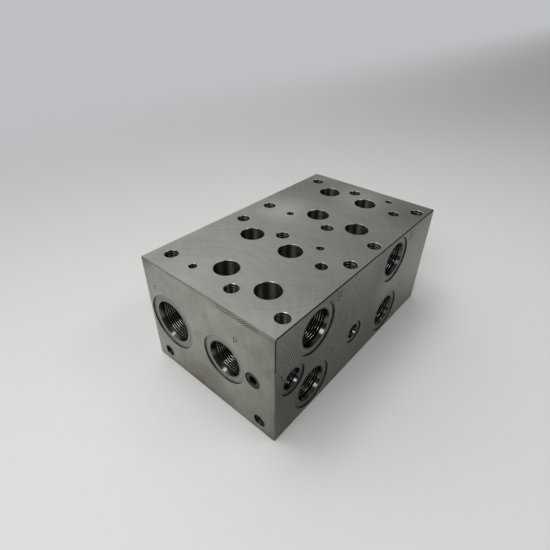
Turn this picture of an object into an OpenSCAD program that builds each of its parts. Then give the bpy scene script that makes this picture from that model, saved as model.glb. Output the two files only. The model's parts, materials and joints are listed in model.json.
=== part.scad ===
// Two-station hydraulic valve subplate: one machined iron block that carries two size 25 valves
// side by side on its top face, and the pipe plug that closes the open end of its drain gallery.
// The pressure and tank galleries run the whole length and have a port at each end.
// Origin at the middle of the bottom face: +X towards the side with the work ports,
// +Y away from the end with the plug, +Z up out of the valve face. Sizes in millimetres.

/* [Block] */
// Height from the bottom face to the valve face
block_h = 120.65; // [117:0.05:160]
// Left face to the left column of valve bolts
left_margin = 17.4625; // [12:0.0125:40]
// Right column of valve bolts to the right face
right_margin = 11.0875; // [10:0.0125:40]
// End face to the nearest row of valve bolts
end_margin = 20.625; // [14:0.025:40]
// Width of the chamfer on the block's outer edges
edge_chamfer = 0.8; // [0.2:0.1:2]

/* [Stations] */
// Number of valve stations
stations = 2; // [1:1:4]
// Distance from one station to the next
station_pitch = 133.35; // [120:0.05:200]

/* [Valve pattern] */
// Distance between the bolt columns of a station
bolt_dx = 130.2; // [128:0.1:150]
// Distance between the bolt rows of a station
bolt_dy = 92.1; // [90:0.1:105]
// Left column to the middle bolt of the far row
far_middle_bolt_x = 53.2; // [50:0.1:56]
// Left column to the middle bolt of the near row
near_middle_bolt_x = 77; // [74:0.1:80]
// Far bolt row to the row of tank and pressure ports
supply_row_y = 17.5; // [16:0.1:20]
// Far bolt row to the row of work ports
work_row_y = 74.6; // [70:0.1:76]
// Left column to the tank port
tank_x = 29.4; // [26:0.1:32]
// Left column to the pressure port
pressure_x = 77; // [74:0.1:82]
// Left column to work port A
work_a_x = 53.2; // [51:0.1:55]
// Left column to work port B
work_b_x = 100.8; // [98:0.1:104]
// Left column to the drain port
drain_x = 112.7; // [110:0.1:116]
// Far bolt row to the drain port
drain_y = 19; // [17:0.1:24]
// Left column to the far locating pin
far_pin_x = 94.5; // [92:0.1:97]
// Distance of the far locating pin beyond the far bolt row
far_pin_beyond = 4.8; // [0:0.1:8]
// Left column to the near locating pin, which is on the near bolt row
near_pin_x = 29.4; // [27:0.1:32]
// Bore of the four main valve ports
valve_port_d = 23.4; // [18:0.1:25]
// Bore of the drain port
drain_port_d = 11.2; // [7:0.1:13]
// Bore of the locating pin holes
pin_hole_d = 7.5; // [6:0.1:9]
// Depth of the locating pin holes
pin_hole_depth = 8; // [6:0.5:12]
// Width of the broken edge at a plain hole's mouth
port_edge_break = 0.3; // [0.1:0.1:1]

/* [Bolt holes] */
// Major diameter of the bolt thread
bolt_thread_d = 12.7; // [10:0.1:14]
// Tap drill of the bolt thread
bolt_tap_d = 10.7; // [8:0.1:11]
// Depth of thread in the valve bolt holes
bolt_thread_depth = 27; // [18:0.5:30]
// Depth of thread in the mounting holes of the end faces
foot_thread_depth = 21; // [14:0.5:22]
// Length that a tap drill runs on below the thread
tap_run_out = 4.5; // [2:0.5:6]
// Width of the broken edge at a bolt hole's mouth
bolt_edge_break = 0.4; // [0.1:0.05:1.5]
// Side faces to the mounting holes of the end faces
foot_inset = 17.4625; // [12:0.0125:25]
// Bottom face to the mounting holes of the end faces
foot_rise = 12.7; // [10:0.1:16]

/* [Galleries] */
// Depth of the gallery centres below the valve face
gallery_drop = 60.325; // [59:0.025:66]
// Distance of the tank gallery to the left of the valves' tank ports
tank_gallery_shift = 15.1125; // [13:0.0125:17]
// Bore of the tank gallery
tank_gallery_d = 34.9; // [30:0.1:37]
// Distance of the pressure gallery to the right of the valves' pressure ports
pressure_gallery_shift = 7.1375; // [6:0.0125:9]
// Bore of the pressure gallery
pressure_gallery_d = 28.6; // [26:0.1:30]
// Distance of the drain gallery to the right of the valves' drain ports
drain_gallery_shift = 4.7875; // [4:0.0125:6.5]
// Bore of the drain gallery
drain_gallery_d = 11.1; // [8:0.1:12]
// Length that the drain gallery runs on past the last drain port's centre
drain_run_on = 8; // [6:0.5:14]

/* [Side ports] */
// Distance of the side ports beyond their row of valve work ports
work_port_shift = 12.7; // [10:0.1:15]
// Bore from a side port to its valve port
work_bore_d = 22.2; // [18:0.1:24]
// Depth of the upper side ports below the valve face
port_b_drop = 25.4; // [25.4:0.1:28]
// Height of the lower side ports above the bottom face
port_a_rise = 28; // [26:0.1:30]
// Near end face to the drain connection
drain_outlet_y = 22.225; // [20:0.025:23]
// Bore of the drain connection
drain_outlet_d = 10.3; // [8:0.1:11]
// Near end face to the gauge connection
gauge_y = 117.475; // [112:0.025:122]
// Depth of the gauge connection below the pressure gallery's centre
gauge_below_gallery = 15.875; // [14:0.025:17]
// Bore of the gauge connection
gauge_d = 7.9; // [7:0.1:9]

/* [Port threads] */
// Thread diameter of the tank ports
tank_thread_d = 41.275; // [40:0.025:42]
// Thread depth of the tank ports
tank_thread_depth = 19; // [16:0.5:24]
// O-ring seat diameter of the tank ports
tank_seat_d = 43.5; // [42.5:0.1:46]
// Spotface diameter of the tank ports
tank_spotface_d = 58; // [50:0.5:60]
// Thread diameter of the pressure and work ports
main_thread_d = 33.3375; // [32:0.0125:34]
// Thread depth of the pressure and work ports
main_thread_depth = 19; // [16:0.5:24]
// O-ring seat diameter of the pressure and work ports
main_seat_d = 35.5; // [34.5:0.1:38]
// Spotface diameter of the pressure and work ports
main_spotface_d = 49; // [42:0.5:49]
// Thread diameter of the drain connection
drain_thread_d = 19.05; // [18:0.05:20]
// Thread depth of the drain connection
drain_thread_depth = 14.3; // [12:0.1:16]
// O-ring seat diameter of the drain connection
drain_seat_d = 20.6; // [20.2:0.1:22]
// Spotface diameter of the drain connection
drain_spotface_d = 30; // [26:0.5:34]
// Thread diameter of the gauge connection
gauge_thread_d = 14.3; // [13:0.05:15]
// Thread depth of the gauge connection
gauge_thread_depth = 12.7; // [10:0.1:16]
// O-ring seat diameter of the gauge connection
gauge_seat_d = 15.6; // [15.2:0.1:17]
// Spotface diameter of the gauge connection
gauge_spotface_d = 25; // [20:0.5:28]
// Depth of every spotface
spotface_depth = 1.2; // [0.5:0.1:2.4]
// Depth of the O-ring seats of the tank, pressure and work ports
large_seat_depth = 3.3; // [2.5:0.1:4]
// Depth of the O-ring seats of the drain and gauge connections
small_seat_depth = 2.5; // [2:0.1:3]

/* [Drain plug] */
// Pitch diameter of the plug's taper thread at its outer end
plug_d = 16; // [14:0.1:17]
// Length of the plug
plug_len = 10.3; // [8:0.1:14]
// Fall in diameter of the taper thread for each unit of its length
plug_taper = 0.0625; // [0.03:0.0025:0.1]
// Depth of the plug's outer end below the end face
plug_recess = 0.5; // [0:0.1:2]
// Width of the chamfer round the plug's ends
plug_chamfer = 0.5; // [0.2:0.1:0.8]
// Width across the flats of the plug's hexagon socket
socket_flats = 7.95; // [6:0.05:9]
// Depth of the hexagon socket
socket_depth = 5.5; // [3:0.1:7]
// Radial gap between the plug and its hole
plug_gap = 0.03; // [0.01:0.01:0.1]
// Length of tapered hole beyond the plug
plug_hole_spare = 3; // [1:0.5:6]

/* [Hidden] */
$fn = 96;
// Outer size of the block
block_w = left_margin + bolt_dx + right_margin;
block_l = 2 * end_margin + bolt_dy + (stations - 1) * station_pitch;
// Height of the galleries and of the gauge connection
gallery_z = block_h - gallery_drop;
gauge_z = gallery_z - gauge_below_gallery;
// Half of a twist drill's 118 degree point
drill_half_angle = 59;
// Length by which a cutter stands out of the face that it enters
cutter_over = 1;

// Place across the block, from a distance to the left face
function from_left(x) = x - block_w / 2;
// Place along the block, from a distance to the near end face
function from_end(y) = y - block_l / 2;
// Place of a point of the valve pattern: x from the left bolt column, y from the far bolt row
function valve_x(x) = from_left(left_margin + x);
function valve_y(y, station) = from_end(end_margin + bolt_dy - y + station * station_pitch);
// Places of the galleries across the block
tank_gallery_x = valve_x(tank_x) - tank_gallery_shift;
pressure_gallery_x = valve_x(pressure_x) + pressure_gallery_shift;
drain_gallery_x = valve_x(drain_x) + drain_gallery_shift;
// Place along the block of a station's side ports
function work_port_y(station) = valve_y(work_row_y - work_port_shift, station);
// Height of a drill point
function point_h(d) = d / 2 / tan(drill_half_angle);

// Each of these stands its children's +Z out of one face
module on_valve_face(x, y) {
  translate([x, y, block_h]) children();
}
module on_right_face(y, z) {
  translate([block_w / 2, y, z]) rotate([0, 90, 0]) children();
}
module on_near_end(x, z) {
  translate([x, -block_l / 2, z]) rotate([90, 0, 0]) children();
}
module on_far_end(x, z) {
  translate([x, block_l / 2, z]) rotate([-90, 0, 0]) children();
}

// Drilled hole with a pointed end and a broken edge; depth is to the end of its full width
module drilled_hole(d, depth) {
  mouth_r = d / 2 + port_edge_break;
  rotate_extrude()
    polygon([
      [0, cutter_over],
      [mouth_r, cutter_over],
      [mouth_r, 0],
      [d / 2, -port_edge_break],
      [d / 2, -depth],
      [0, -depth - point_h(d)]
    ]);
}

// Tapped hole for a bolt, with a broken edge and the tap drill's pointed end
module bolt_hole(thread_depth) {
  thread_r = bolt_thread_d / 2;
  mouth_r = thread_r + bolt_edge_break;
  drill_depth = thread_depth + tap_run_out;
  rotate_extrude()
    polygon([
      [0, cutter_over],
      [mouth_r, cutter_over],
      [mouth_r, 0],
      [thread_r, -bolt_edge_break],
      [thread_r, -thread_depth],
      [bolt_tap_d / 2, -thread_depth],
      [bolt_tap_d / 2, -drill_depth],
      [0, -drill_depth - point_h(bolt_tap_d)]
    ]);
}

// Straight-thread port with a spotface and a conical O-ring seat, drilled on to drill_depth
module ring_seal_port(thread_d, thread_depth, seat_d, seat_depth, spotface_d, drill_d, drill_depth) {
  thread_r = thread_d / 2;
  thread_end = spotface_depth + thread_depth;
  rotate_extrude()
    polygon([
      [0, cutter_over],
      [spotface_d / 2, cutter_over],
      [spotface_d / 2, -spotface_depth],
      [seat_d / 2, -spotface_depth],
      [thread_r, -spotface_depth - seat_depth],
      [thread_r, -thread_end],
      [drill_d / 2, -thread_end - (thread_r - drill_d / 2) / tan(drill_half_angle)],
      [drill_d / 2, -drill_depth],
      [0, -drill_depth - point_h(drill_d)]
    ]);
}

// Port of the tank gallery, as deep as half of the block
module tank_port() {
  ring_seal_port(tank_thread_d, tank_thread_depth, tank_seat_d, large_seat_depth, tank_spotface_d,
                 tank_gallery_d, block_l / 2);
}

// Port of the size that the pressure gallery and the work ports share
module main_port(drill_d, drill_depth) {
  ring_seal_port(main_thread_d, main_thread_depth, main_seat_d, large_seat_depth, main_spotface_d,
                 drill_d, drill_depth);
}

// Holes of one valve station in the valve face
module valve_station(station) {
  bolts = [
    [0, 0],
    [far_middle_bolt_x, 0],
    [bolt_dx, 0],
    [0, bolt_dy],
    [near_middle_bolt_x, bolt_dy],
    [bolt_dx, bolt_dy]
  ];
  for (at = bolts)
    on_valve_face(valve_x(at.x), valve_y(at.y, station)) bolt_hole(bolt_thread_depth);
  for (at = [[far_pin_x, -far_pin_beyond], [near_pin_x, bolt_dy]])
    on_valve_face(valve_x(at.x), valve_y(at.y, station)) drilled_hole(pin_hole_d, pin_hole_depth);
  for (x = [tank_x, pressure_x])
    on_valve_face(valve_x(x), valve_y(supply_row_y, station)) drilled_hole(valve_port_d, gallery_drop);
  on_valve_face(valve_x(work_a_x), valve_y(work_row_y, station))
    drilled_hole(valve_port_d, block_h - port_a_rise);
  on_valve_face(valve_x(work_b_x), valve_y(work_row_y, station))
    drilled_hole(valve_port_d, port_b_drop);
  on_valve_face(valve_x(drain_x), valve_y(drain_y, station)) drilled_hole(drain_port_d, gallery_drop);
}

// Side ports of one station, each bored on to the axis of its valve port
module work_ports(station) {
  on_right_face(work_port_y(station), port_a_rise)
    main_port(work_bore_d, block_w / 2 - valve_x(work_a_x));
  on_right_face(work_port_y(station), block_h - port_b_drop)
    main_port(work_bore_d, block_w / 2 - valve_x(work_b_x));
}

// Drain connection, which meets the drain gallery
module drain_connection() {
  on_right_face(from_end(drain_outlet_y), gallery_z)
    ring_seal_port(drain_thread_d, drain_thread_depth, drain_seat_d, small_seat_depth, drain_spotface_d,
                   drain_outlet_d, block_w / 2 - drain_gallery_x);
}

// Gauge connection, which passes under the drain gallery and meets the lower side of the pressure gallery
module gauge_connection() {
  on_right_face(from_end(gauge_y), gauge_z)
    ring_seal_port(gauge_thread_d, gauge_thread_depth, gauge_seat_d, small_seat_depth, gauge_spotface_d,
                   gauge_d, block_w / 2 - pressure_gallery_x);
}

// Drain gallery: drilled from the near end, with a tapered mouth for its plug
module drain_gallery() {
  hole_depth = plug_recess + plug_len + plug_hole_spare;
  mouth_r = plug_d / 2 + plug_gap;
  inner_r = mouth_r - (hole_depth - plug_recess) * plug_taper / 2;
  bore_r = drain_gallery_d / 2;
  bore_end = valve_y(drain_y, stations - 1) + drain_run_on - from_end(0);
  on_near_end(drain_gallery_x, gallery_z)
    rotate_extrude()
      polygon([
        [0, cutter_over],
        [mouth_r, cutter_over],
        [mouth_r, -plug_recess],
        [inner_r, -hole_depth],
        [bore_r, -hole_depth - (inner_r - bore_r) / tan(drill_half_angle)],
        [bore_r, -bore_end],
        [0, -bore_end - point_h(drain_gallery_d)]
      ]);
}

// Mounting holes in the lower corners of both end faces
module foot_holes() {
  for (x = [from_left(foot_inset), -from_left(foot_inset)]) {
    on_near_end(x, foot_rise) bolt_hole(foot_thread_depth);
    on_far_end(x, foot_rise) bolt_hole(foot_thread_depth);
  }
}

// Upright rectangle with cut corners, centred in x and standing on y 0
module chamfered_outline(w, h) {
  c = edge_chamfer;
  polygon([
    [-w / 2 + c, 0],
    [w / 2 - c, 0],
    [w / 2, c],
    [w / 2, h - c],
    [w / 2 - c, h],
    [-w / 2 + c, h],
    [-w / 2, h - c],
    [-w / 2, c]
  ]);
}

// Block with all its outer edges chamfered
module blank() {
  intersection() {
    rotate([90, 0, 0]) linear_extrude(block_l, center = true) chamfered_outline(block_w, block_h);
    rotate([90, 0, 90]) linear_extrude(block_w, center = true) chamfered_outline(block_l, block_h);
    translate([0, -block_l / 2, 0]) linear_extrude(block_h) chamfered_outline(block_w, block_l);
  }
}

module subplate_block() {
  color("#8b8b86")
    difference() {
      blank();
      for (station = [0 : stations - 1]) {
        valve_station(station);
        work_ports(station);
      }
      on_near_end(tank_gallery_x, gallery_z) tank_port();
      on_far_end(tank_gallery_x, gallery_z) tank_port();
      on_near_end(pressure_gallery_x, gallery_z) main_port(pressure_gallery_d, block_l / 2);
      on_far_end(pressure_gallery_x, gallery_z) main_port(pressure_gallery_d, block_l / 2);
      drain_gallery();
      drain_connection();
      gauge_connection();
      foot_holes();
    }
}

module drain_gallery_plug() {
  outer_r = plug_d / 2;
  inner_r = outer_r - plug_len * plug_taper / 2;
  color("#3c3c3c")
    on_near_end(drain_gallery_x, gallery_z)
      translate([0, 0, -plug_recess])
        difference() {
          rotate_extrude()
            polygon([
              [0, 0],
              [outer_r - plug_chamfer, 0],
              [outer_r - plug_chamfer * plug_taper / 2, -plug_chamfer],
              [inner_r + plug_chamfer * plug_taper / 2, plug_chamfer - plug_len],
              [inner_r - plug_chamfer, -plug_len],
              [0, -plug_len]
            ]);
          translate([0, 0, -socket_depth])
            cylinder(h = socket_depth + cutter_over, d = socket_flats / cos(30), $fn = 6);
        }
}

subplate_block();
drain_gallery_plug();
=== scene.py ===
"""Looks of a hydraulic valve subplate that carries two valves side by side.

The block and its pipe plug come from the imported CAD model. Here every surface of the block gets the
finish that its cutting tool left, the tapped holes get their threads, the ports get their stamped
letters, and a pale paper floor and soft studio light are set up round it. Lengths are in millimetres
where a name ends in _mm, and otherwise in metres.
"""
import json
import logging
import math
from dataclasses import dataclass, field
from enum import Enum
from typing import Any

import bmesh
import bpy
from bpy.types import Material, MeshPolygon, Node, NodeSocket, NodeTree, Object, World
from mathutils import Matrix, Vector


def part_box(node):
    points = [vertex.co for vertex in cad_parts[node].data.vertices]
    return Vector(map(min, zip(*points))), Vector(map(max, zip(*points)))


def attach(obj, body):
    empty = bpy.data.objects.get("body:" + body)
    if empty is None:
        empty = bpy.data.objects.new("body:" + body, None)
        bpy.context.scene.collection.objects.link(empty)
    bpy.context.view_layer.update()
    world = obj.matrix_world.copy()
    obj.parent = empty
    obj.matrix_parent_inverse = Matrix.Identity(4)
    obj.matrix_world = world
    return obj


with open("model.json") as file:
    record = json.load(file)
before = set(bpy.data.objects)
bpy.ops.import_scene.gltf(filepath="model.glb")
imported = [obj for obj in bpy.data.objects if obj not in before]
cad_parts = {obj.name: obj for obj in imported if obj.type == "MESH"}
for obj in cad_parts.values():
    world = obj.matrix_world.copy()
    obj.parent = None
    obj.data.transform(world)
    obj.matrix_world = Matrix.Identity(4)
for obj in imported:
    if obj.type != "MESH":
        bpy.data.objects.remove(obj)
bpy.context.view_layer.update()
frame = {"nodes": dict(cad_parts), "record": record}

MM = 0.001
INCH_MM = 25.4
BODY = "root"
BLOCK = "subplate_block"
PLUG = "drain_gallery_plug"

log = logging.getLogger("subplate")

# A Mix node's sockets share their names and go by place: 0 is the share, 2 and 3 are the two numbers,
# and 6 and 7 the two colours.

# Fractal noise for fine grain, soft stains, the rings of a tool and the streaks of a cutter.
GRAIN_NOISE = {"Detail": 3.0, "Roughness": 0.6}
STAIN_NOISE = {"Detail": 4.0, "Roughness": 0.55}
RING_NOISE = {"Detail": 2.0, "Roughness": 0.6}
STREAK_NOISE = {"Detail": 2.0, "Roughness": 0.5}
# Where most of one noise lies, and most of two mixed, which is stretched to run from 0 to 1.
NOISE_SPAN = {"From Min": 0.3, "From Max": 0.7}
MIXED_SPAN = {"From Min": 0.32, "From Max": 0.68}


def linear(colour: str) -> tuple[float, float, float, float]:
    """Turn an sRGB colour into the linear one that the shaders take.

    Args:
        colour: a hash sign and six hex digits.

    Returns:
        Linear red, green and blue, and an alpha of 1.
    """
    shares = [int(colour[start:start + 2], 16) / 255 for start in (1, 3, 5)]
    red, green, blue = (s / 12.92 if s <= 0.04045 else ((s + 0.055) / 1.055) ** 2.4 for s in shares)
    return red, green, blue, 1.0


def add_node(tree: NodeTree, kind: str, inputs: dict[int | str, Any] | None = None,
             **settings: Any) -> Node:
    """Add one node with its settings, values and links.

    Args:
        tree: the node tree that it goes in.
        kind: Blender's name for the node type, without the ShaderNode that it begins with.
        inputs: for each input, by place or name, the socket that feeds it or its own value.
        settings: the node's own properties.

    Returns:
        The new node.
    """
    node = tree.nodes.new("ShaderNode" + kind)
    for key, value in settings.items():
        setattr(node, key, value)
    for key, value in (inputs or {}).items():
        if isinstance(value, NodeSocket):
            tree.links.new(value, node.inputs[key])
        else:
            node.inputs[key].default_value = value
    return node


def add_piece(name: str, mesh: bmesh.types.BMesh, *materials: Material) -> Object:
    """Turn a mesh into a piece of the block.

    Args:
        name: the piece's name.
        mesh: its closed mesh, in the part's frame, which is freed here.
        materials: its finishes, in the order of the faces' material numbers.

    Returns:
        The new piece, which rides on the block's body.
    """
    bmesh.ops.recalc_face_normals(mesh, faces=mesh.faces)
    data = bpy.data.meshes.new(name)
    mesh.to_mesh(data)
    mesh.free()
    for material in materials:
        data.materials.append(material)
    piece = bpy.data.objects.new(name, data)
    bpy.context.collection.objects.link(piece)
    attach(piece, BODY)
    return piece


def close_tube(mesh: bmesh.types.BMesh, rings: list[list[bmesh.types.BMVert]], finishes: list[int]) -> None:
    """Join a row of rings into a tube and close its ends.

    Args:
        mesh: the mesh that the rings are in.
        rings: the corners of each ring, in the same order in all of them.
        finishes: the material number of the strip from each corner to the next.
    """
    for here, there in zip(rings, rings[1:]):
        for corner, finish in enumerate(finishes):
            following = (corner + 1) % len(finishes)
            face = mesh.faces.new((here[corner], here[following], there[following], there[corner]))
            face.material_index = finish
    mesh.faces.new(rings[0])
    mesh.faces.new(rings[-1])


class Axis(Enum):
    """One axis of the part's frame, as an index into a vector."""

    ACROSS = 0
    ALONG = 1
    UP = 2


class Surface(Enum):
    """Kinds of machined surface on the block."""

    VALVE_FACE = "valve face"
    UNDERSIDE = "underside"
    PORT_SIDE = "port side"
    BACK_SIDE = "back side"
    END_FACE = "end face"
    CHAMFER = "chamfer"
    NEAR_EDGE = "near edge"
    NEAR_CORNER = "near corner"
    EDGE_BREAK = "edge break"
    END_SPOTFACE = "end spotface"
    SIDE_SPOTFACE = "side spotface"
    SEAT = "seat"
    VALVE_BORE = "valve bore"
    PORT_BORE = "port bore"


class ThreadSize(Enum):
    """Threads of the block's holes: major diameter in millimetres and turns to the inch."""

    BOLT = (12.7, 13)
    GAUGE = (14.3, 18)
    DRAIN = (19.05, 16)
    MAIN = (33.3375, 12)
    TANK = (41.275, 12)

    @property
    def radius_mm(self) -> float:
        """Major radius."""
        return self.value[0] / 2

    @property
    def pitch_mm(self) -> float:
        """Distance from one turn to the next."""
        return INCH_MM / self.value[1]

    @classmethod
    def nearest(cls, radius_mm: float) -> "ThreadSize":
        """The thread whose major radius is nearest to the hole's."""
        return min(cls, key=lambda size: abs(size.radius_mm - radius_mm))


class Letter(Enum):
    """Port letters as strokes in a box of width 0.6 and height 1."""

    A = (((0, 0), (0.3, 1), (0.6, 0)), ((0.1, 0.34), (0.5, 0.34)))
    B = (((0, 0), (0, 1), (0.42, 1), (0.56, 0.9), (0.56, 0.62), (0.42, 0.52), (0, 0.52)),
         ((0.42, 0.52), (0.6, 0.4), (0.6, 0.12), (0.45, 0), (0, 0)))
    P = (((0, 0), (0, 1), (0.45, 1), (0.6, 0.88), (0.6, 0.6), (0.45, 0.48), (0, 0.48)),)
    T = (((0, 1), (0.6, 1)), ((0.3, 1), (0.3, 0)))
    Y = (((0, 1), (0.3, 0.5), (0.6, 1)), ((0.3, 0.5), (0.3, 0)))


@dataclass(frozen=True)
class Pattern:
    """Two sockets that vary over a surface from 0 to 1: how dark it is, and how high."""

    tone: NodeSocket
    height: NodeSocket


@dataclass(frozen=True)
class BareMetal:
    """Bare metal whose colour, gloss and relief follow one pattern."""

    name: str
    pale: str
    dark: str
    smoothest: float
    roughest: float
    relief_mm: float

    def pattern(self, tree: NodeTree, place_mm: NodeSocket) -> Pattern:
        """Lay out the pattern that the tool left.

        Args:
            tree: the material's node tree.
            place_mm: the place on the part, in millimetres.

        Returns:
            The pattern's sockets.
        """
        raise NotImplementedError

    def shine(self, tree: NodeTree) -> dict[int | str, Any]:
        """Extra inputs of the shader; plain metal has none."""
        return {}

    def material(self) -> Material:
        """Make the material.

        Returns:
            A new material of this finish.
        """
        made = bpy.data.materials.new(self.name)
        made.use_nodes = True
        tree = made.node_tree
        tree.nodes.clear()
        where = add_node(tree, "TexCoord")
        place = add_node(tree, "VectorMath", {0: where.outputs["Object"], "Scale": 1 / MM},
                         operation="SCALE")
        drawn = self.pattern(tree, place.outputs[0])
        colour = add_node(tree, "Mix", {0: drawn.tone, 6: linear(self.pale), 7: linear(self.dark)},
                          data_type="RGBA")
        gloss = add_node(tree, "MapRange",
                         {"Value": drawn.tone, "To Min": self.smoothest, "To Max": self.roughest})
        relief = add_node(tree, "Bump", {"Height": drawn.height, "Distance": self.relief_mm * MM})
        shader = add_node(tree, "BsdfPrincipled",
                          {"Base Color": colour.outputs[2], "Metallic": 1.0, "Roughness": gloss.outputs[0],
                           "Normal": relief.outputs[0], **self.shine(tree)})
        add_node(tree, "OutputMaterial", {"Surface": shader.outputs[0]})
        return made


@dataclass(frozen=True)
class OilAndShadePatch:
    """A patch painted darker or paler, and how much: a thinner or thicker film of oil, and on some faces
    painted shade and painted light that the face reflects from round the block.
    """

    centre_mm: tuple[float, float, float]
    radius_mm: float
    darker: float


@dataclass(frozen=True)
class OilAndShadeMetal(BareMetal):
    """Metal with patches painted darker and paler: uneven oil, and painted shade and painted light."""

    oil_and_shade_patches: tuple[OilAndShadePatch, ...] = ()

    def lay_oil_and_shade(self, tree: NodeTree, place_mm: NodeSocket, tone: NodeSocket) -> NodeSocket:
        """Lay in the patches of oil and of painted shade and light, each fading out to its radius.

        Args:
            tree: the material's node tree.
            place_mm: the place on the part, in millimetres.
            tone: how dark the metal is without them.

        Returns:
            The tone with the patches in it.
        """
        for patch in self.oil_and_shade_patches:
            away = add_node(tree, "VectorMath", {0: place_mm, 1: patch.centre_mm}, operation="DISTANCE")
            near = add_node(tree, "MapRange",
                            {"Value": away.outputs["Value"], "From Min": patch.radius_mm, "From Max": 0.0},
                            interpolation_type="SMOOTHSTEP")
            tone = add_node(tree, "Math", {0: near.outputs[0], 1: patch.darker, 2: tone},
                            operation="MULTIPLY_ADD").outputs[0]
        return tone


@dataclass(frozen=True)
class GrainedMetal(OilAndShadeMetal):
    """Metal with an even grain and larger soft stains."""

    grain_mm: float = 1.5
    stain_mm: float = 20.0
    stain_share: float = 0.6
    mottle_tone: float = 1.0

    def pattern(self, tree: NodeTree, place_mm: NodeSocket) -> Pattern:
        """Grain for the relief, grain over stains for the tone.

        Args:
            tree: the material's node tree.
            place_mm: the place on the part, in millimetres.

        Returns:
            The pattern's sockets.
        """
        grain = add_node(tree, "TexNoise", {"Vector": place_mm, "Scale": 1 / self.grain_mm, **GRAIN_NOISE})
        stain = add_node(tree, "TexNoise", {"Vector": place_mm, "Scale": 1 / self.stain_mm, **STAIN_NOISE})
        both = add_node(tree, "Mix", {0: self.stain_share, 2: grain.outputs[0], 3: stain.outputs[0]},
                        data_type="FLOAT")
        tone = add_node(tree, "MapRange",
                        {"Value": both.outputs[0], **MIXED_SPAN, "To Max": self.mottle_tone})
        return Pattern(self.lay_oil_and_shade(tree, place_mm, tone.outputs[0]), grain.outputs[0])


@dataclass(frozen=True)
class ArcPatch:
    """A place where the cutter's arcs stand out.

    A share of them comes from the cutter's trailing edge. Where fine ones would blur, only every second
    or third of that share is drawn. The patch is full over its core and fades out to its radius.
    """

    centre_mm: tuple[float, float, float]
    radius_mm: float
    trailing: float
    every: int = 1
    core: float = 0.4


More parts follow.
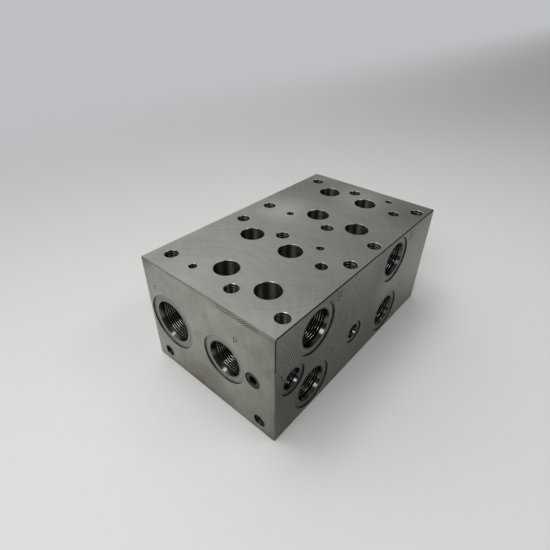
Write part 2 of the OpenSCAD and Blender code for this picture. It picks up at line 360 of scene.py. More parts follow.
@dataclass(frozen=True)
class FaceMilled(OilAndShadeMetal):
    """Face-milled metal: each turn of the cutter leaves an arc one feed on from the last."""

    across: Axis = Axis.ACROSS
    centre_mm: float = 0.0
    cutter_mm: float = 85.0
    feed_mm: float = 1.5
    streak_mm: float = 40.0
    unevenness: float = 0.7
    # How strongly the arcs of the cutter's leading and trailing edges show.
    leading: float = 1.0
    trailing: float = 0.4
    # How much the arcs and the stains darken it.
    line_tone: float = 0.8
    stain_tone: float = 0.8
    stain_mm: float = 45.0
    patches: tuple[ArcPatch, ...] = ()

    def arcs(self, tree: NodeTree, travel_mm: NodeSocket, aside_mm: NodeSocket,
             every: int = 1) -> NodeSocket:
        """Draw a line for each turn of the cutter, part regular and part in uneven streaks.

        Args:
            tree: the material's node tree.
            travel_mm: how far the cutter had come when it passed the place.
            aside_mm: how far the place is from the middle of the cutter's way.
            every: 1 to draw each turn's line, 2 to draw every second one, and so on.

        Returns:
            The lines, from 0 to 1.
        """
        apart_mm = self.feed_mm * every
        phase = add_node(tree, "Math", {0: travel_mm, 1: math.tau / apart_mm}, operation="MULTIPLY")
        wave = add_node(tree, "Math", {0: phase.outputs[0]}, operation="SINE")
        even = add_node(tree, "MapRange", {"Value": wave.outputs[0], "From Min": -1.0})
        turn = add_node(tree, "Math", {0: travel_mm, 1: apart_mm}, operation="DIVIDE")
        sweep = add_node(tree, "Math", {0: aside_mm, 1: self.streak_mm}, operation="DIVIDE")
        spot = add_node(tree, "CombineXYZ", {0: turn.outputs[0], 1: sweep.outputs[0]})
        noise = add_node(tree, "TexNoise", {"Vector": spot.outputs[0], "Scale": 1.0, **STREAK_NOISE},
                         noise_dimensions="2D")
        uneven = add_node(tree, "MapRange", {"Value": noise.outputs[0], **NOISE_SPAN})
        return add_node(tree, "Mix", {0: self.unevenness, 2: even.outputs[0], 3: uneven.outputs[0]},
                        data_type="FLOAT").outputs[0]

    def pattern(self, tree: NodeTree, place_mm: NodeSocket) -> Pattern:
        """Arcs of the cutter's leading edge, crossed by those of its trailing edge.

        Args:
            tree: the material's node tree.
            place_mm: the place on the part, in millimetres.

        Returns:
            The pattern's sockets.
        """
        parts = add_node(tree, "SeparateXYZ", {0: place_mm})
        along = parts.outputs[Axis.ALONG.value]
        aside = add_node(tree, "Math", {0: parts.outputs[self.across.value], 1: self.centre_mm},
                         operation="SUBTRACT")
        square = add_node(tree, "Math", {0: aside.outputs[0], 1: aside.outputs[0]}, operation="MULTIPLY")
        left = add_node(tree, "Math", {0: self.cutter_mm ** 2, 1: square.outputs[0]}, operation="SUBTRACT")
        reach = add_node(tree, "Math", {0: left.outputs[0]}, operation="SQRT")
        lead = add_node(tree, "Math", {0: along, 1: reach.outputs[0]}, operation="SUBTRACT")
        trail = add_node(tree, "Math", {0: along, 1: reach.outputs[0]}, operation="ADD")
        lead_arcs = self.arcs(tree, lead.outputs[0], aside.outputs[0])
        trail_arcs = self.arcs(tree, trail.outputs[0], aside.outputs[0])
        lead_share: Any = self.leading
        trail_share: Any = self.trailing
        for patch in self.patches:
            away = add_node(tree, "VectorMath", {0: place_mm, 1: patch.centre_mm}, operation="DISTANCE")
            near = add_node(tree, "MapRange",
                            {"Value": away.outputs["Value"], "From Min": patch.radius_mm,
                             "From Max": patch.radius_mm * patch.core}, interpolation_type="SMOOTHSTEP")
            lead_share = add_node(tree, "Math",
                                  {0: near.outputs[0], 1: 1 - patch.trailing, 2: lead_share},
                                  operation="MULTIPLY_ADD").outputs[0]
            trail_share = add_node(tree, "Math", {0: near.outputs[0], 1: patch.trailing, 2: trail_share},
                                   operation="MULTIPLY_ADD").outputs[0]
            if patch.every > 1:
                fewer = self.arcs(tree, trail.outputs[0], aside.outputs[0], patch.every)
                trail_arcs = add_node(tree, "Mix", {0: near.outputs[0], 2: trail_arcs, 3: fewer},
                                      data_type="FLOAT").outputs[0]
        lead_lines = add_node(tree, "Mix", {0: lead_share, 2: 0.5, 3: lead_arcs}, data_type="FLOAT")
        trail_lines = add_node(tree, "Mix", {0: trail_share, 2: 0.5, 3: trail_arcs}, data_type="FLOAT")
        lines = add_node(tree, "Math", {0: lead_lines.outputs[0], 1: trail_lines.outputs[0]},
                         operation="ADD")
        stain = add_node(tree, "TexNoise", {"Vector": place_mm, "Scale": 1 / self.stain_mm, **STAIN_NOISE})
        middle = 0.5 - self.line_tone - self.stain_tone / 2
        lined = add_node(tree, "Math", {0: lines.outputs[0], 1: self.line_tone, 2: middle},
                         operation="MULTIPLY_ADD")
        tone = add_node(tree, "Math", {0: stain.outputs[0], 1: self.stain_tone, 2: lined.outputs[0]},
                        operation="MULTIPLY_ADD")
        return Pattern(self.lay_oil_and_shade(tree, place_mm, tone.outputs[0]), lines.outputs[0])


@dataclass(frozen=True)
class EndMilled(GrainedMetal):
    """End face: soft mottle, painted shade at the foot, darker at the right, with cutter strokes along the
    top edge.
    """

    half_width_mm: float = field(kw_only=True)
    height_mm: float = field(kw_only=True)
    grain_mm: float = 1.2
    stain_mm: float = 14.0
    stain_share: float = 0.7
    mottle_tone: float = 0.4
    border_mm: float = 5.0
    blur_mm: float = 0.4
    foot_mm: float = 1.0
    right_from: float = 0.45
    stroke_mm: float = 2.13
    stroke_lean: float = 0.7
    strokes_from_mm: float = 17.0
    strokes_to_mm: float = 60.0
    strokes_fade_mm: float = 4.0
    crown_fade_mm: float = 6.0
    # How much darker it gets at the right border, the foot, the right and the top edge; at the foot it is
    # painted shade, the block's shadow on the floor in front as the face reflects it.
    side_tone: float = 0.05
    foot_shade_tone: float = 0.2
    right_tone: float = 0.34
    crown_tone: float = 0.22
    crown_weight: float = 0.7
    stroke_weight: float = 3.4

    def strokes(self, tree: NodeTree, across: NodeSocket, up: NodeSocket) -> NodeSocket:
        """Draw the leaning strokes, which begin and end along the top edge.

        Args:
            tree: the material's node tree.
            across: the place across the face, in millimetres.
            up: the place up the face, in millimetres.

        Returns:
            The strokes, from 0 to 1.
        """
        lean = add_node(tree, "Math", {0: across, 1: -self.stroke_lean, 2: up}, operation="MULTIPLY_ADD")
        phase = add_node(tree, "Math", {0: lean.outputs[0], 1: math.tau / self.stroke_mm},
                         operation="MULTIPLY")
        wave = add_node(tree, "Math", {0: phase.outputs[0]}, operation="SINE")
        # A stroke is dark over somewhat less than half of the way to the next.
        stroke = add_node(tree, "MapRange", {"Value": wave.outputs[0], "From Min": -0.2, "From Max": 0.6})
        begun = add_node(tree, "MapRange", {"Value": across, "From Min": self.strokes_from_mm,
                                            "From Max": self.strokes_from_mm + self.strokes_fade_mm})
        ended = add_node(tree, "MapRange", {"Value": across, "From Max": self.strokes_to_mm,
                                            "From Min": self.strokes_to_mm + self.strokes_fade_mm})
        span = add_node(tree, "Math", {0: begun.outputs[0], 1: ended.outputs[0]}, operation="MULTIPLY")
        return add_node(tree, "Math", {0: stroke.outputs[0], 1: span.outputs[0]},
                        operation="MULTIPLY").outputs[0]

    def pattern(self, tree: NodeTree, place_mm: NodeSocket) -> Pattern:
        """Mottle with the borders and the strokes laid over it.

        Args:
            tree: the material's node tree.
            place_mm: the place on the part, in millimetres.

        Returns:
            The pattern's sockets.
        """
        parts = add_node(tree, "SeparateXYZ", {0: place_mm})
        across, up = parts.outputs[Axis.ACROSS.value], parts.outputs[Axis.UP.value]
        inner_mm = self.half_width_mm - self.border_mm
        side = add_node(tree, "MapRange", {"Value": across, "From Min": inner_mm - 3 * self.blur_mm,
                                           "From Max": inner_mm - self.blur_mm, "To Max": self.side_tone})
        # Painted shade at the foot: the block's shadow on the floor in front, as the face reflects it.
        foot = add_node(tree, "MapRange", {"Value": up, "From Min": self.border_mm * 2,
                                           "From Max": self.foot_mm, "To Max": self.foot_shade_tone})
        right = add_node(tree, "MapRange", {"Value": across, "From Max": self.half_width_mm,
                                            "From Min": self.half_width_mm * self.right_from,
                                            "To Max": self.right_tone})
        width = add_node(tree, "MapRange", {"Value": across, "From Max": self.strokes_from_mm,
                                            "From Min": self.strokes_from_mm - self.crown_fade_mm,
                                            "To Min": self.border_mm / 2, "To Max": self.border_mm})
        above = add_node(tree, "Math", {0: up, 1: width.outputs[0]}, operation="ADD")
        crown = add_node(tree, "MapRange", {"Value": above.outputs[0], "To Max": self.crown_tone,
                                            "From Min": self.height_mm - self.blur_mm,
                                            "From Max": self.height_mm + self.blur_mm})
        edge = add_node(tree, "Math", {0: self.strokes(tree, across, up), 1: crown.outputs[0]},
                        operation="MULTIPLY")
        mottle = super().pattern(tree, place_mm)
        tone = mottle.tone
        for layer, weight in ((side, 1.0), (foot, 1.0), (right, 1.0), (crown, self.crown_weight),
                              (edge, self.stroke_weight)):
            tone = add_node(tree, "Math", {0: layer.outputs[0], 1: weight, 2: tone},
                            operation="MULTIPLY_ADD").outputs[0]
        return Pattern(tone, mottle.height)


@dataclass(frozen=True)
class TurnedRings(OilAndShadeMetal):
    """Metal faced by a turning tool, which leaves rings round the centre of each port."""

    centres_mm: tuple[Vector, ...] = ()
    ring_mm: float = 0.8
    farthest_mm: float = 1000.0

    def pattern(self, tree: NodeTree, place_mm: NodeSocket) -> Pattern:
        """Rings round the nearest port's centre.

        Args:
            tree: the material's node tree.
            place_mm: the place on the part, in millimetres.

        Returns:
            The pattern's sockets.
        """
        radius: Any = self.farthest_mm
        for centre in self.centres_mm:
            away = add_node(tree, "VectorMath", {0: place_mm, 1: centre}, operation="DISTANCE")
            radius = add_node(tree, "Math", {0: radius, 1: away.outputs["Value"]},
                              operation="MINIMUM").outputs[0]
        rings = add_node(tree, "TexNoise", {"W": radius, "Scale": 1 / self.ring_mm, **RING_NOISE},
                         noise_dimensions="1D")
        tone = add_node(tree, "MapRange", {"Value": rings.outputs[0], **NOISE_SPAN})
        return Pattern(self.lay_oil_and_shade(tree, place_mm, tone.outputs[0]), rings.outputs[0])


@dataclass(frozen=True)
class DrilledWall(BareMetal):
    """Wall of a drilled hole, ringed by the drill's feed."""

    along: Axis = Axis.UP
    ring_mm: float = 0.7
    stain_mm: float = 6.0
    stain_roughness: float = 0.6
    drawn_out: float = 0.97

    def pattern(self, tree: NodeTree, place_mm: NodeSocket) -> Pattern:
        """Rings along the hole for the relief, stains of oil for the tone.

        Args:
            tree: the material's node tree.
            place_mm: the place on the part, in millimetres.

        Returns:
            The pattern's sockets.
        """
        parts = add_node(tree, "SeparateXYZ", {0: place_mm})
        rings = add_node(tree, "TexNoise",
                         {"W": parts.outputs[self.along.value], "Scale": 1 / self.ring_mm, **RING_NOISE},
                         noise_dimensions="1D")
        stain = add_node(tree, "TexNoise", {"Vector": place_mm, "Scale": 1 / self.stain_mm, **STAIN_NOISE,
                                            "Roughness": self.stain_roughness})
        tone = add_node(tree, "MapRange", {"Value": stain.outputs[0], **NOISE_SPAN})
        return Pattern(tone.outputs[0], rings.outputs[0])

    def shine(self, tree: NodeTree) -> dict[int | str, Any]:
        """Draw the shine out along the hole, square to the drill's rings.

        Args:
            tree: the material's node tree.

        Returns:
            The shader's inputs for it.
        """
        course = tuple(1.0 if axis is self.along else 0.0 for axis in Axis)
        drawn = add_node(tree, "VectorTransform", {0: course}, vector_type="VECTOR",
                         convert_from="OBJECT", convert_to="WORLD")
        return {"Anisotropic": self.drawn_out, "Tangent": drawn.outputs[0]}


@dataclass
class SubplateBlock:
    """The drilled iron block, each of whose surfaces gets the finish of the tool that cut it."""

    low: Vector
    high: Vector
    port_centres_mm: tuple[Vector, ...]
    chamfer_mm: float = 0.85
    edge_break_mm: float = 0.6
    spotface_mm: float = 1.2
    spotface_slack_mm: float = 0.1
    seat_mm: float = 4.6
    face_slack_mm: float = 0.02
    # How much of a face's normal lies along an axis, at least: square to it, a broken edge, a seat.
    square_share: float = 0.9995
    edge_share: float = 0.5
    seat_share: float = 0.05
    # How much of it points up or down, at most, in the wall of an upright hole.
    wall_share: float = 0.02

    def finishes(self) -> dict[Surface, BareMetal]:
        """Choose the finish of each kind of surface.

        Returns:
            A finish for every kind of surface.
        """
        left, near = self.low.x / MM, self.low.y / MM
        side, top = self.high.x / MM, self.high.z / MM
        return {
            # Grey iron cut by a face mill: a satin grey with faint arcs as wide as the cutter. The real
            # feed is about 0.3 mm, too fine for the picture, so the streaks are drawn about fifteen times
            # as wide. A rag left it paler at the far middle and the left middle. It is a little darker at
            # both ends of the left edge and along the right; at the far end of the left edge that is
            # painted shade, the reflection of the backdrop's soft shadow.
            Surface.VALVE_FACE: FaceMilled(
                "face_milled_iron_valve_face", "#c3c3bc", "#7e7e78", 0.36, 0.44, 0.01, feed_mm=5.0,
                unevenness=1.0, leading=0.6, trailing=0.5, line_tone=0.15, stain_tone=0.5,
                oil_and_shade_patches=(OilAndShadePatch((left, near + 20, top), 45.0, 0.12),
                       OilAndShadePatch((left + 86, near + 234, top), 48.0, -0.42),
                       OilAndShadePatch((left, near + 225, top), 95.0, 0.3),
                       OilAndShadePatch((left + 38, near + 160, top), 40.0, -0.42),
                       OilAndShadePatch((left + 145, near + 240, top), 60.0, 0.15),
                       OilAndShadePatch((left + 155, near + 75, top), 60.0, 0.15))),
            # The underside, cut the same way and duller. Its streaks are drawn about ten times as wide.
            Surface.UNDERSIDE: FaceMilled(
                "face_milled_iron_underside", "#9c9c96", "#82827c", 0.38, 0.5, 0.01, feed_mm=3.5,
                unevenness=1.0, leading=0.6, trailing=0.5, line_tone=0.4, stain_tone=1.2),
            # The port side was milled faster. Its grey is painted darker than the other faces as painted
            # shade, for the shadowed floor that it reflects; it is painted paler high up and at the far end
            # and darker low at the near end, painted light and painted shade for the same reason. Its arcs
            # show where the light grazes them, near the corner and between the upper ports. They are drawn
            # 1.8 mm apart, as measured. Between the upper ports the crossing ones are drawn coarser than
            # real, three times as far apart, because finer ones blur into grey.
            Surface.PORT_SIDE: FaceMilled(
                "coarsely_milled_iron_port_side_painted_shade", "#83847d", "#45463f", 0.36, 0.44, 0.03, across=Axis.UP,
                centre_mm=53.0, cutter_mm=97.0, feed_mm=1.8, unevenness=0.2, leading=0.22, trailing=0.14,
                line_tone=1.7, stain_tone=0.5,
                patches=(ArcPatch((side, near + 14, 98), 36.0, 0.0),
                         ArcPatch((side, near + 98, 104), 48.0, 0.45, every=3)),
                oil_and_shade_patches=(OilAndShadePatch((side, near + 112, 126), 52.0, -0.5),
                       OilAndShadePatch((side, near + 8, 122), 30.0, -0.45),
                       OilAndShadePatch((side, near + 4, 52), 70.0, 0.35),
                       OilAndShadePatch((side, near + 262, 66), 108.0, -0.62),
                       OilAndShadePatch((side, near + 178, 64), 40.0, -0.4))),
            # The hidden side, taken to be milled in the same way, without the port side's painted shade: a
            # paler grey. Its arcs are drawn wider than those of the port side, so that they show.
            Surface.BACK_SIDE: FaceMilled(
                "coarsely_milled_iron_back_side", "#979691", "#6b6a65", 0.36, 0.44, 0.05, across=Axis.UP,
                centre_mm=60.0, cutter_mm=97.0, feed_mm=2.7, unevenness=0.3, leading=0.5, trailing=0.2),
            # Milled end, wiped with an oily rag: dull grey with a brownish mottle. The two patches low on
            # it are painted shade, the block's shadow on the floor in front as the face reflects it; it is
            # darker at the top left corner too.
            Surface.END_FACE: EndMilled(
                "milled_iron_end_face", "#a9ada4", "#6b6459", 0.4, 0.5, 0.01,
                half_width_mm=side, height_mm=top,
                oil_and_shade_patches=(OilAndShadePatch((left + 70, near, 0), 62.0, 0.5),
                       OilAndShadePatch((left + 140, near, 0), 60.0, 0.2),
                       OilAndShadePatch((left, near, top), 24.0, 0.4))),
            # Edge broken with a file: scratches that hold the oil, and painted shade for the dim room that
            # the narrow edge reflects, together dark.
            Surface.CHAMFER: GrainedMetal("filed_iron_edge", "#575651", "#3a3935", 0.32, 0.5, 0.02,
                                          grain_mm=0.6, stain_mm=9.0),
            # The upright edge between the end and the port side is rubbed bare, and oily only at its top.
            Surface.NEAR_CORNER: GrainedMetal("rubbed_iron_corner", "#8a8982", "#3c3b37", 0.36, 0.5, 0.01,
                                              grain_mm=0.6, stain_mm=12.0,
                                              oil_and_shade_patches=(OilAndShadePatch((side, near, top), 70.0, 0.7),)),
            # The edge over the end ports was wiped clean with the end face, and is as pale as it is.
            Surface.NEAR_EDGE: GrainedMetal("filed_and_wiped_iron_edge", "#918f89", "#6f6d67", 0.36, 0.5,
                                            0.01, grain_mm=0.6, stain_mm=9.0),
            # Hole edge broken by a countersink bit: a clean bright cut.
            Surface.EDGE_BREAK: GrainedMetal("countersunk_iron_edge", "#b0afaa", "#8f8e89", 0.3, 0.4, 0.01,
                                             grain_mm=0.6, stain_mm=4.0),
            # Spotface turned with a port tool: rings and a slightly darker grey. The tool's own rings are
            # about 0.2 mm apart, and they are drawn coarser than real, wide enough to show.
            Surface.END_SPOTFACE: TurnedRings(
                "port_tool_faced_iron_end", "#a3a29c", "#6f6e69", 0.34, 0.46, 0.012,
                centres_mm=self.port_centres_mm, ring_mm=1.4),
            # The same on the port side, painted darker with that face's painted shade, and most of all low
            # at the near end, as painted shade for the block's shadow on the floor that it reflects.
            Surface.SIDE_SPOTFACE: TurnedRings(
                "port_tool_faced_iron_side", "#80807a", "#51504c", 0.34, 0.46, 0.012,
                centres_mm=self.port_centres_mm, ring_mm=1.4,
                oil_and_shade_patches=(OilAndShadePatch((side, near + 4, 25), 85.0, 0.9),)),
            # Seat for an O-ring, cut by the same tool: smooth, so it shows the dark of the hole and spots
            # of light, and painted darker still as shade inside the port.
            Surface.SEAT: TurnedRings("port_tool_cut_iron_seat", "#64635e", "#504f4b", 0.15, 0.2, 0.006,
                                      centres_mm=self.port_centres_mm, ring_mm=0.6),
            # Drilled and oily, and painted dark as shade inside the hole, in the valve bores and the port
            # bores alike, with the shine drawn out along the hole by the drill's rings. The drill's feed is
            # about 0.2 mm; the rings are drawn wider and keep their slope.
            Surface.VALVE_BORE: DrilledWall("drilled_iron_valve_bore", "#67665f", "#4e4d48", 0.37, 0.43,
                                            0.005),
            Surface.PORT_BORE: DrilledWall("drilled_iron_port_bore", "#66655f", "#4b4a46", 0.34, 0.42, 0.01,
                                           along=Axis.ALONG),
        }

    def kind_of(self, face: MeshPolygon) -> Surface:
        """Tell which surface a face of the mesh belongs to.

        Args:
            face: one polygon of the block's mesh.

        Returns:
            Its kind of surface.
        """
        flat_axis = max(Axis, key=lambda axis: abs(face.normal[axis.value]))
        below = [(face.center[axis.value] - self.low[axis.value]) / MM for axis in Axis]
        above = [(self.high[axis.value] - face.center[axis.value]) / MM for axis in Axis]
        slope = face.normal[flat_axis.value]
        if abs(slope) > self.square_share:
            depth = above[flat_axis.value] if slope > 0 else below[flat_axis.value]
            if depth < self.face_slack_mm:
                return self.outer_face(flat_axis, slope > 0)
            if abs(depth - self.spotface_mm) < self.spotface_slack_mm and flat_axis is not Axis.UP:
                return Surface.SIDE_SPOTFACE if flat_axis is Axis.ACROSS else Surface.END_SPOTFACE
        if sum(min(pair) < self.chamfer_mm for pair in zip(below, above)) > 1:
            if below[Axis.ALONG.value] > self.chamfer_mm:
                return Surface.CHAMFER
            if above[Axis.UP.value] < self.chamfer_mm:
                return Surface.NEAR_EDGE
            return Surface.NEAR_CORNER if above[Axis.ACROSS.value] < self.chamfer_mm else Surface.CHAMFER
        for axis in Axis:
            outward = face.normal[axis.value]
            depth = above[axis.value] if outward > 0 else below[axis.value]
            if abs(outward) > self.edge_share and depth < self.edge_break_mm:
                return Surface.EDGE_BREAK
            if abs(outward) > self.seat_share and depth < self.seat_mm:
                return Surface.SEAT
        return Surface.VALVE_BORE if abs(face.normal.z) < self.wall_share else Surface.PORT_BORE

    def outer_face(self, axis: Axis, positive: bool) -> Surface:
        """Name the outer face that looks along an axis.

        Args:
            axis: the axis that it is square to.
            positive: whether it looks towards the axis's positive end.

        Returns:
            Its kind of surface.
        """
        if axis is Axis.UP:
            return Surface.VALVE_FACE if positive else Surface.UNDERSIDE
        if axis is Axis.ACROSS:
            return Surface.PORT_SIDE if positive else Surface.BACK_SIDE
        return Surface.END_FACE

    def dress(self, block: Object) -> None:
        """Give each face of the block its finish.

        Args:
            block: the block as it came from the CAD model.
        """
        kinds = list(Surface)
        finishes = self.finishes()
        block.data.materials.clear()
        for kind in kinds:
            block.data.materials.append(finishes[kind].material())
        counts = dict.fromkeys(kinds, 0)
        for face in block.data.polygons:
            kind = self.kind_of(face)
            face.material_index = kinds.index(kind)
            counts[kind] += 1
        log.info("%s: %s", block.name, ", ".join(f"{kind.value} {count}" for kind, count in counts.items()))


@dataclass
class DrainPlug:
    """The hexagon-socket pipe plug that closes the drain gallery."""

    # Black oxide on steel: nearly black, with a dull blue-grey shine.
    finish: BareMetal = field(default_factory=lambda: GrainedMetal(
        "black_oxide_steel", "#4a4a49", "#232323", 0.36, 0.52, 0.01, grain_mm=0.9, stain_mm=5.0))

    def dress(self, plug: Object) -> None:
        """Give the plug its finish.

        Args:
            plug: the plug as it came from the CAD model.
        """
        plug.data.materials.clear()
        plug.data.materials.append(self.finish.material())
        log.info("%s: %s", plug.name, self.finish.name)


@dataclass
class TappedThread:
    """The screw thread in one tapped hole: a ridge with a rounded crest that winds along its wall."""

    name: str
    middle: Vector
    axis: Vector
    size: ThreadSize
    length_mm: float
    bedded_mm: float = 0.02
    steps_per_turn: int = 60
    run_out_turns: float = 1.0
    run_out_share: float = 0.05
    clear_turns: float = 0.9
    sharp_deg: float = 50.0
    # From the root to the crest, in pitches: distance from the middle of the ridge, and height.
    half_profile: tuple[tuple[float, float], ...] = (
        (0.4375, 0.0), (0.25, 0.325), (0.15, 0.465), (0.05, 0.52))

    @property
    def crest_faces(self) -> int:
        """How many of the profile's seven free faces have the finish of the crest."""
        return 5 if self.size is ThreadSize.BOLT else 3

    def profile(self, share: float) -> list[tuple[float, float]]:
        """Shape of the ridge where it has grown to a share of its height.

        Args:
            share: how much of its full height the ridge has, from 0 to 1.

        Returns:
            Radius and distance along the axis of its corners, in millimetres.
        """
        wall, pitch = self.size.radius_mm, self.size.pitch_mm
        near = [(wall + (self.bedded_mm if rise == 0 else -rise * share * pitch), -aside * pitch)
                for aside, rise in self.half_profile]
        return near + [(radius, -shift) for radius, shift in reversed(near)]

    def build(self, flank: Material, crest: Material) -> Object:
        """Wind the ridge and hand it to the block's body.

        Args:
            flank: the finish of the ridge's flanks.
            crest: the finish of its rounded crest.

        Returns:
            The new piece.
        """
        pitch = self.size.pitch_mm
        turns = self.length_mm / pitch - self.clear_turns
        steps = math.ceil(turns * self.steps_per_turn)
        mesh = bmesh.new()
        rings = []
        for step in range(steps + 1):
            done = turns * step / steps
            share = min(1.0, self.run_out_share + min(done, turns - done) / self.run_out_turns)
            angle = math.tau * done
            rise = (done - turns / 2) * pitch
            rings.append([mesh.verts.new((radius * math.cos(angle) * MM, radius * math.sin(angle) * MM,
                                          (rise + shift) * MM)) for radius, shift in self.profile(share)])
        corners = len(rings[0])
        close_tube(mesh, rings, [int(abs(corner - corners / 2 + 1) < self.crest_faces / 2)
                                 for corner in range(corners)])
        turned = self.axis.to_track_quat("Z", "Y").to_matrix().to_4x4()
        mesh.transform(Matrix.Translation(self.middle) @ turned)
        piece = add_piece(self.name, mesh, flank, crest)
        piece.data.shade_smooth()
        piece.data.set_sharp_from_angle(angle=math.radians(self.sharp_deg))
        return piece


@dataclass
class ThreadSet:
    """All the threads of the block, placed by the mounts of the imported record."""

    mounts: list[dict[str, Any]]
    valve_face: float
    bolt_top_mm: float = 0.4
    bolt_end_mm: float = 27.0
    # Flanks cut by a tap: torn iron that holds the cutting oil, painted nearly black as shade inside the
    # hole.
    flank_finish: BareMetal = field(default_factory=lambda: GrainedMetal(
        "oily_tap_cut_iron_flank_painted_shade", "#32312f", "#1e1d1c", 0.26, 0.36, 0.003, grain_mm=0.7, stain_mm=8.0))
    # Crests in the ports, burnished by adapters: bright, so they flash where a lamp shows in them.
    port_crest_finish: BareMetal = field(default_factory=lambda: GrainedMetal(
        "burnished_iron_port_crest", "#b4b3ae", "#a3a29d", 0.14, 0.16, 0.0002, grain_mm=0.7, stain_mm=8.0))
    # Crests in the bolt holes, left as the tap cut them and painted darker than those of the ports as shade
    # in the upright holes: dull grey lines in the dark of the hole.
    bolt_crest_finish: BareMetal = field(default_factory=lambda: GrainedMetal(
        "tap_cut_iron_bolt_crest_painted_shade", "#5d5c58", "#4b4a46", 0.3, 0.34, 0.0005, grain_mm=0.7, stain_mm=8.0))

    def threads(self) -> list[TappedThread]:
        """List the threads.

        Returns:
            One thread for every tapped hole.
        """
        found = []
        for mount in self.mounts:
            place, axis, dims = Vector(mount["pos_m"]), Vector(mount["axis"]), mount["dims"]
            if mount["kind"] == "threaded_hole":
                found.append(TappedThread(f"thread_{mount['name']}", place, axis,
                                          ThreadSize.nearest(dims["r_mm"]), dims["length_mm"]))
            if mount["kind"] == "bolt_pattern":
                place.z = self.valve_face - (self.bolt_top_mm + self.bolt_end_mm) / 2 * MM
                for number, shift in enumerate(self.corners(dims), 1):
                    found.append(TappedThread(f"thread_{mount['name']}_{number}", place + shift, axis,
                                              ThreadSize.BOLT, self.bolt_end_mm - self.bolt_top_mm))
        return found

    def corners(self, dims: dict[str, float]) -> list[Vector]:
        """Places of a bolt pattern's holes from its middle.

        Args:
            dims: the pattern's sizes from the record.

        Returns:
            One place for each hole.
        """
        half_x = dims.get("spacing_x_mm", 0) / 2 * MM
        half_y = dims.get("spacing_y_mm", 0) / 2 * MM
        places = {(x, y) for x in (-half_x, half_x) for y in (-half_y, half_y)}
        return [Vector((x, y, 0)) for x, y in sorted(places)]

    def build(self) -> None:
        """Make all the threads, those of the bolt holes with duller crests."""
        flank, port_crest, bolt_crest = (finish.material() for finish in (
            self.flank_finish, self.port_crest_finish, self.bolt_crest_finish))
        for thread in self.threads():
            piece = thread.build(flank, bolt_crest if thread.size is ThreadSize.BOLT else port_crest)
            log.info("%s: %d faces", piece.name, len(piece.data.polygons))


@dataclass
class PortStamp:
    """One letter stamped beside a port."""

    name: str
    letter: Letter
    corner: Vector
    right: Vector
    outward: Vector
    height_mm: float
    stroke_mm: float = 0.7
    proud_mm: float = 0.02
    bedded_mm: float = 0.05
    mitre_limit: float = 0.5

    def ribbon(self, mesh: bmesh.types.BMesh, points: list[Vector]) -> None:
        """Add one stroke as a thin closed ribbon.

        Args:
            mesh: the letter's mesh.
            points: the stroke's corners, in metres on the face.
        """
        sections = []
        for number, point in enumerate(points):
            before = points[max(number - 1, 0)]
            after = points[min(number + 1, len(points) - 1)]
            runs = [leg.normalized() for leg in (point - before, after - point) if leg.length > 0]
            course = sum(runs, Vector()).normalized()
            mitre = max(self.mitre_limit, course.dot(runs[0]))
            side = self.outward.cross(course) * (self.stroke_mm * MM / 2 / mitre)
            top, bed = self.outward * self.proud_mm * MM, self.outward * -self.bedded_mm * MM
            sections.append([mesh.verts.new(point + offset) for offset in
                             (side + top, side + bed, bed - side, top - side)])
        close_tube(mesh, sections, [0] * len(sections[0]))

    def build(self, material: Material) -> Object:
        """Stamp the letter on its face.

        Args:
            material: the stamp's finish.

        Returns:
            The new piece.
        """
        up = self.outward.cross(self.right)
        size = self.height_mm * MM
        mesh = bmesh.new()
        for stroke in self.letter.value:
            self.ribbon(mesh, [self.corner + (self.right * x + up * y) * size for x, y in stroke])
        return add_piece(self.name, mesh, material)


@dataclass(frozen=True)
class StampPlace:
    """Where a letter goes on its face, from the face's lower left corner, and how tall it is."""

    name: str
    letter: Letter
    across_mm: float
    up_mm: float
    tall_mm: float


@dataclass
class StampSet:
    """The letters beside the ports of the near end and of the port side."""

    low: Vector
    high: Vector
    # Struck with a letter punch: the bruised metal in the stroke is dull and dark, and the dark also stands
    # for painted shade in the punched groove, which the thin raised strip does not cut.
    finish: BareMetal = field(default_factory=lambda: GrainedMetal(
        "punched_iron_letter", "#4a4946", "#2c2b29", 0.4, 0.55, 0.01, grain_mm=0.5, stain_mm=3.0))
    # The same on the port side: darker still, painted to match that face's painted shade.
    side_finish: BareMetal = field(default_factory=lambda: GrainedMetal(
        "punched_iron_letter_side_shade", "#2c2b29", "#1a1918", 0.4, 0.55, 0.01, grain_mm=0.5, stain_mm=3.0))
    end_letters: tuple[StampPlace, ...] = (
        StampPlace("stamp_pressure", Letter.P, 116.0, 89.8, 6.3),
        StampPlace("stamp_tank", Letter.T, 11.5, 88.0, 6.0))
    side_letters: tuple[StampPlace, ...] = (
        StampPlace("stamp_work_b_near", Letter.B, 78.6, 106.6, 8.0),
        StampPlace("stamp_work_b_far", Letter.B, 212.0, 106.6, 8.0),
        StampPlace("stamp_work_a_near", Letter.A, 78.6, 46.5, 6.0),
        StampPlace("stamp_work_a_far", Letter.A, 212.0, 46.5, 6.0),
        StampPlace("stamp_drain", Letter.Y, 6.3, 71.0, 7.0))

    def build(self) -> None:
        """Stamp all the letters, each face's in its own finish."""
        across, along, up = Vector((1, 0, 0)), Vector((0, 1, 0)), Vector((0, 0, 1))
        side_corner = Vector((self.high.x, self.low.y, self.low.z))
        for places, finish, corner, right, outward in (
                (self.end_letters, self.finish, self.low, across, -along),
                (self.side_letters, self.side_finish, side_corner, along, across)):
            material = finish.material()
            for place in places:
                start = corner + (right * place.across_mm + up * place.up_mm) * MM
                PortStamp(place.name, place.letter, start, right, outward, place.tall_mm).build(material)
                log.info("%s: letter %s", place.name, place.letter.name)


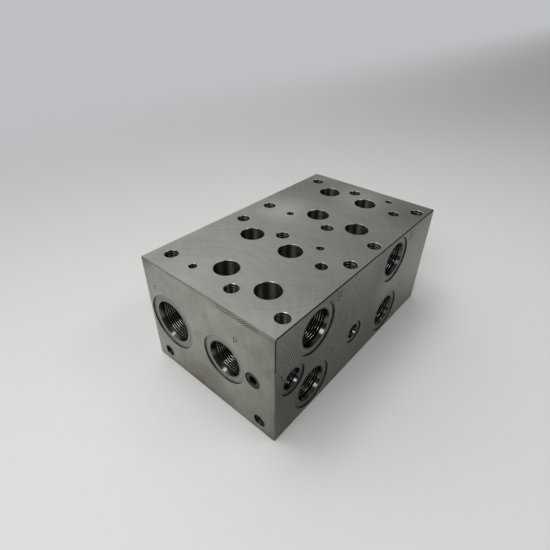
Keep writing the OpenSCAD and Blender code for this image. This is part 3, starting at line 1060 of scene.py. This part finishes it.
@dataclass(frozen=True)
class Panel:
    """A soft ceiling panel that faces the block."""

    name: str
    direction: tuple[float, float, float]
    distance: float
    width: float
    length: float
    radiance: float

    def build(self, target: Vector) -> Object:
        """Hang the panel.

        Args:
            target: the point that it faces.

        Returns:
            The lamp.
        """
        away = Vector(self.direction).normalized()
        lamp = bpy.data.lights.new(self.name, "AREA")
        lamp.shape = "RECTANGLE"
        lamp.size, lamp.size_y = self.width, self.length
        lamp.energy = self.radiance * math.pi * self.width * self.length
        hung = bpy.data.objects.new(self.name, lamp)
        hung.location = target + away * self.distance
        hung.rotation_euler = away.to_track_quat("Z", "Y").to_euler()
        bpy.context.collection.objects.link(hung)
        return hung


@dataclass
class Studio:
    """Pale paper floor, the room's soft light and the ceiling panels."""

    half_floor: float = 200.0
    paper: str = "#e3e3e2"
    shaded_paper: str = "#e0e0df"
    paper_roughness: float = 0.9
    paper_gloss: float = 0.1
    # Away from the lamps, to the left and behind, the paper is painted light: a pale glow that the camera
    # and reflections see, as pale as a window beyond the frame would keep it.
    far_paper: str = "#bdbfc2"
    far_begins: float = -0.05
    far_full: float = -1.25
    fibre_mm: float = 6.0
    fibre_detail: float = 3.0
    fibre_relief_mm: float = 0.02
    room_tint: str = "#ffffff"
    room_axis: tuple[float, float, float] = (-0.852, -0.09, 0.515)
    room_dim: float = 0.12
    room_bright: float = 0.96
    # Cosine of the angle from the room's axis at which its glow has faded.
    room_rim: float = 0.25
    aim: tuple[float, float, float] = (0.0, 0.0, 0.06)
    panels: tuple[Panel, ...] = (
        Panel("left_ceiling_panel", (-0.25, -0.15, 0.957), 1.05, 0.52, 0.3, 5.2),
        Panel("front_ceiling_panel", (0.12, -0.71, 0.69), 1.4, 0.7, 0.52, 5.4),
        Panel("right_ceiling_panel", (0.532, 0.215, 0.819), 1.12, 0.6, 0.22, 4.6))

    def floor(self) -> Object:
        """Lay the paper floor under the block.

        Returns:
            The floor.
        """
        mesh = bmesh.new()
        bmesh.ops.create_grid(mesh, x_segments=1, y_segments=1, size=self.half_floor)
        data = bpy.data.meshes.new("paper_floor")
        mesh.to_mesh(data)
        mesh.free()
        data.materials.append(self.paper_material())
        laid = bpy.data.objects.new("paper_floor", data)
        bpy.context.collection.objects.link(laid)
        return laid

    def paper_material(self) -> Material:
        """Matte roll paper: off-white with soft uneven fibres and no shine.

        Returns:
            The floor's material.
        """
        made = bpy.data.materials.new("matte_roll_paper")
        made.use_nodes = True
        tree = made.node_tree
        tree.nodes.clear()
        where = add_node(tree, "TexCoord")
        fibre = add_node(tree, "TexNoise", {"Vector": where.outputs["Object"], "Detail": self.fibre_detail,
                                            "Scale": 1 / (self.fibre_mm * MM)})
        relief = add_node(tree, "Bump", {"Height": fibre.outputs[0], "Distance": self.fibre_relief_mm * MM})
        colour = add_node(tree, "Mix", {0: fibre.outputs[0], 6: linear(self.paper),
                                        7: linear(self.shaded_paper)}, data_type="RGBA")
        shader = add_node(tree, "BsdfPrincipled",
                          {"Base Color": colour.outputs[2], "Roughness": self.paper_roughness,
                           "Specular IOR Level": self.paper_gloss, "Normal": relief.outputs[0]})
        parts = add_node(tree, "SeparateXYZ", {0: where.outputs["Object"]})
        far = add_node(tree, "MapRange", {"Value": parts.outputs[Axis.ACROSS.value],
                                          "From Min": self.far_begins, "From Max": self.far_full},
                       interpolation_type="SMOOTHSTEP")
        ray = add_node(tree, "LightPath")
        seen = ray.outputs["Is Camera Ray"]
        for kind in ("Is Glossy Ray", "Is Transmission Ray"):
            seen = add_node(tree, "Math", {0: seen, 1: ray.outputs[kind]}, operation="MAXIMUM").outputs[0]
        share = add_node(tree, "Math", {0: far.outputs[0], 1: seen}, operation="MULTIPLY")
        backdrop = add_node(tree, "Emission", {"Color": linear(self.far_paper), "Strength": 1.0})
        both = add_node(tree, "MixShader",
                        {0: share.outputs[0], 1: shader.outputs[0], 2: backdrop.outputs[0]})
        add_node(tree, "OutputMaterial", {"Surface": both.outputs[0]})
        made.cycles.emission_sampling = "NONE"
        return made

    def room(self) -> World:
        """Light the room softly, brightest on the left, as from a wide window there.

        Returns:
            The world.
        """
        world = bpy.data.worlds.new("soft_room")
        world.use_nodes = True
        tree = world.node_tree
        tree.nodes.clear()
        where = add_node(tree, "TexCoord")
        towards = add_node(tree, "VectorMath", {0: where.outputs["Generated"], 1: self.room_axis},
                           operation="DOT_PRODUCT")
        level = add_node(tree, "MapRange",
                         {"Value": towards.outputs["Value"], "From Min": self.room_rim,
                          "To Min": self.room_dim, "To Max": self.room_bright})
        glow = add_node(tree, "Background", {"Color": linear(self.room_tint), "Strength": level.outputs[0]})
        add_node(tree, "OutputWorld", {"Surface": glow.outputs[0]})
        bpy.context.scene.world = world
        return world

    def build(self) -> None:
        """Set up the floor, the room and the lamps."""
        self.floor()
        self.room()
        for panel in self.panels:
            panel.build(Vector(self.aim))
        bpy.context.scene.view_settings.view_transform = "Standard"
        log.info("studio: floor, room and %d panels", len(self.panels))


@dataclass
class PhotoCamera:
    """The camera at the photograph's place, worked out from the valve holes in it."""

    place: tuple[float, float, float] = (0.2015, -0.27859, 0.31131)
    forward: tuple[float, float, float] = (-0.52768, 0.62012, -0.58052)
    roll_deg: float = 0.70
    focal_px: float = 392.365
    frame_px: int = 550
    centre_px: tuple[float, float] = (275.0, 274.0)
    sensor_mm: float = 36.0
    clip: tuple[float, float] = (0.01, 1000.0)

    def build(self) -> Object:
        """Place the camera and make it the scene's own.

        Returns:
            The camera.
        """
        data = bpy.data.cameras.new("photo_camera")
        data.sensor_width = self.sensor_mm
        data.lens = self.focal_px / self.frame_px * self.sensor_mm
        data.shift_x = (self.frame_px / 2 - self.centre_px[0]) / self.frame_px
        data.shift_y = (self.centre_px[1] - self.frame_px / 2) / self.frame_px
        data.clip_start, data.clip_end = self.clip
        camera = bpy.data.objects.new("photo_camera", data)
        aim = Vector(self.forward).to_track_quat("-Z", "Y").to_matrix().to_4x4()
        roll = Matrix.Rotation(math.radians(self.roll_deg), 4, "Z")
        camera.matrix_world = Matrix.Translation(Vector(self.place)) @ aim @ roll
        bpy.context.collection.objects.link(camera)
        bpy.context.scene.camera = camera
        log.info("camera: lens %.2f mm", data.lens)
        return camera


def main() -> None:
    """Dress the CAD nodes, add the pieces that only the looks need, and set up the studio."""
    logging.basicConfig(level=logging.INFO, format="%(name)s %(message)s")
    mounts = frame["record"]["mounts"]
    low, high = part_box(BLOCK)
    ports = tuple(Vector(mount["pos_m"]) / MM for mount in mounts
                  if mount["kind"] == "threaded_hole" and "foot" not in mount["name"])
    SubplateBlock(low, high, ports).dress(frame["nodes"][BLOCK])
    DrainPlug().dress(frame["nodes"][PLUG])
    ThreadSet(mounts, high.z).build()
    StampSet(low, high).build()
    Studio().build()
    PhotoCamera().build()


if __name__ == "__main__":
    main()
